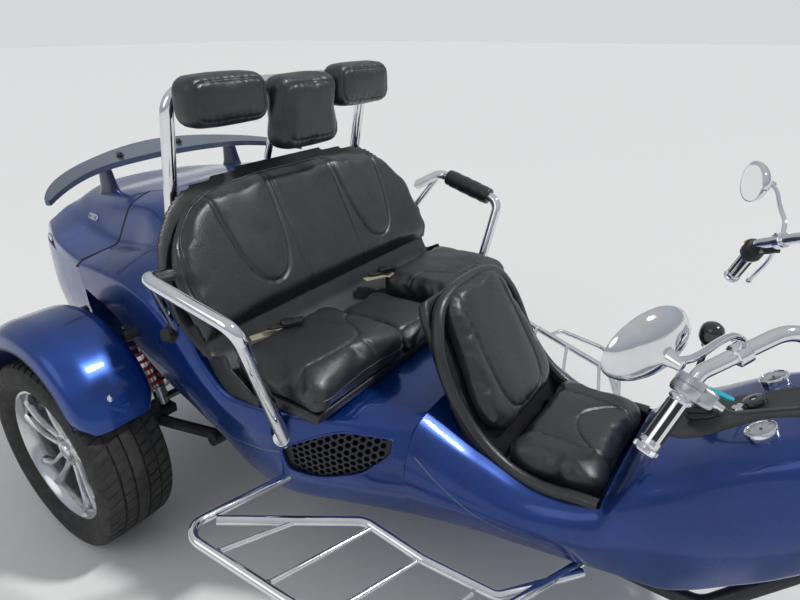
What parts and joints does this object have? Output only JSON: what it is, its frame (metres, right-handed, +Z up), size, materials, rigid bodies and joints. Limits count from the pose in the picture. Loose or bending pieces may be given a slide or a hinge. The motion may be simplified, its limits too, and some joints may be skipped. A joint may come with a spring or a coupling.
{
  "type": "motorized trike",
  "caption": "Three-wheeled open motor trike with a chopper fork, a driver's bucket seat, a passenger bench with headrests, ladder-style running boards and a lidded boot.",
  "frame": {"origin": "on the ground under the middle of the overall length and width", "axes": "+X forward, +Y to the driver's left, +Z up"},
  "size_m": [3.492, 1.7162, 1.4305],
  "materials": {
    "blue_paint": "deep metallic blue lacquer",
    "black_vinyl": "satin grained vinyl",
    "black_shell": "satin",
    "chrome": "polished",
    "tyre_rubber": "matt",
    "alloy": "polished",
    "black_rubber": "satin",
    "frame_black": "satin black",
    "engine_alloy": "cast",
    "spring_red": "gloss red",
    "silver_blue": "metallic lacquer",
    "dash_black": "textured",
    "gauge_white": "glass over a white dial",
    "lens_clear": "clear",
    "mirror_silver": "mirror",
    "lamp_red": "clear red"
  },
  "bodies": {
    "chassis": {"rear_body": "blue_paint", "front_body": "blue_paint", "boot_tub": "blue_paint", "bench_back": "black_vinyl", "bench_shell": "black_shell", "bench_cushions": "black_vinyl", "headrests": "black_vinyl", "headrest_hoop": "chrome", "arm_tubes": "chrome", "arm_pad": "black_shell", "running_boards": "chrome", "driver_shell": "black_shell", "driver_pads": "black_vinyl", "dash_panel": "dash_black", "gauges": "gauge_white", "gear_lever": "dash_black", "dash_fittings": "dash_black", "main_frame": "frame_black", "engine": "engine_alloy", "final_drive": "engine_alloy", "trailing_arms": "frame_black", "dampers": "frame_black", "coil_springs": "spring_red", "rear_fenders": "blue_paint", "tail_lamps": "lamp_red", "plate_bracket": "black_shell", "exhaust": "engine_alloy", "belt_buckles": "black_shell", "intake_grilles": "frame_black"},
    "boot_lid": {"boot_lid": "blue_paint", "spoiler": "silver_blue"},
    "steering": {"fork": "chrome", "front_fender": "blue_paint", "handlebar": "chrome", "grips": "chrome", "controls": "dash_black", "mirrors": "chrome", "mirror_glasses": "mirror_silver", "headlamp": "chrome", "headlamp_lens": "lens_clear", "throttle_cable": "black_rubber"},
    "front_wheel": {"front_tyre": "tyre_rubber", "front_rim": "alloy"},
    "rear_wheel_right": {"rear_tyre_right": "tyre_rubber", "rear_rim_right": "alloy"},
    "rear_wheel_left": {"rear_tyre_left": "tyre_rubber", "rear_rim_left": "alloy"}
  },
  "joints": [
    {"name": "steering_turn", "type": "hinge", "parent": "chassis", "child": "steering", "pos_m": [0.9579, 0, 0.9], "axis": [-0.5878, 0, 0.809], "range_deg": [-35, 35]},
    {"name": "front_wheel_spin", "type": "hinge", "parent": "steering", "child": "front_wheel", "pos_m": [1.436, 0, 0.31], "axis": [0, 1, 0], "continuous": true},
    {"name": "rear_right_spin", "type": "hinge", "parent": "chassis", "child": "rear_wheel_right", "pos_m": [-1.164, -0.71, 0.322], "axis": [0, 1, 0], "continuous": true},
    {"name": "rear_left_spin", "type": "hinge", "parent": "chassis", "child": "rear_wheel_left", "pos_m": [-1.164, 0.71, 0.322], "axis": [0, 1, 0], "continuous": true},
    {"name": "boot_lid_hinge", "type": "hinge", "parent": "chassis", "child": "boot_lid", "pos_m": [-1.177, 0, 1.057], "axis": [0, 1, 0], "range_deg": [0, 60]}
  ]
}
